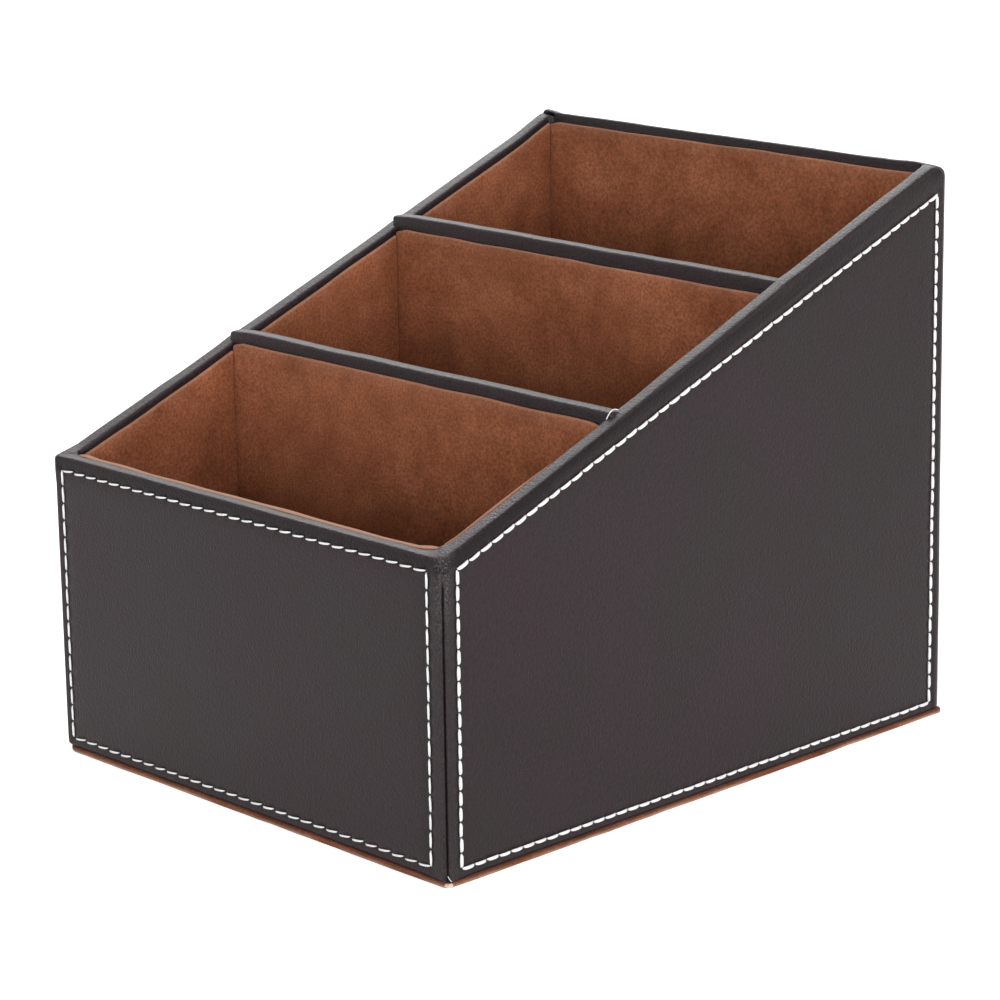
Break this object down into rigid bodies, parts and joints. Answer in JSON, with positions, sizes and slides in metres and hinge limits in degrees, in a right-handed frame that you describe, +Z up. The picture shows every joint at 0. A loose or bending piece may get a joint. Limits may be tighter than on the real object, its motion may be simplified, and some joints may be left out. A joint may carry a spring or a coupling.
{
  "type": "desk file organizer",
  "caption": "Open-topped leather-covered desk box with a sloping rim, cross dividers making upright bays, suede-like lining and contrast border stitching",
  "frame": {"origin": "centre of the bounding box at the bottom of the base pad, where the box rests on the desk", "axes": "+Z is up, +Y points from the low front panel to the tall back panel, and +X points to the right side as seen from the front"},
  "size_m": [0.1208, 0.1498, 0.121],
  "materials": {
    "leather": "fine-grained dark brown faux leather, satin",
    "lining": "rust tan microsuede, matte",
    "board": "raw fibreboard, matte",
    "thread": "white polyester thread, slight sheen"
  },
  "bodies": {
    "root": {"base_board": "board", "front_board": "board", "back_board": "board", "left_side_board": "board", "right_side_board": "board", "front_divider_board": "board", "rear_divider_board": "board", "front_cover": "leather", "back_cover": "leather", "left_side_cover": "leather", "right_side_cover": "leather", "front_divider_cap": "leather", "rear_divider_cap": "leather", "front_bay_front_lining": "lining", "front_bay_back_lining": "lining", "front_bay_left_lining": "lining", "front_bay_right_lining": "lining", "front_bay_floor_lining": "lining", "middle_bay_front_lining": "lining", "middle_bay_back_lining": "lining", "middle_bay_left_lining": "lining", "middle_bay_right_lining": "lining", "middle_bay_floor_lining": "lining", "rear_bay_front_lining": "lining", "rear_bay_back_lining": "lining", "rear_bay_left_lining": "lining", "rear_bay_right_lining": "lining", "rear_bay_floor_lining": "lining", "base_pad": "lining", "front_stitching": "thread", "back_stitching": "thread", "left_side_stitching": "thread", "right_side_stitching": "thread"}
  },
  "joints": []
}
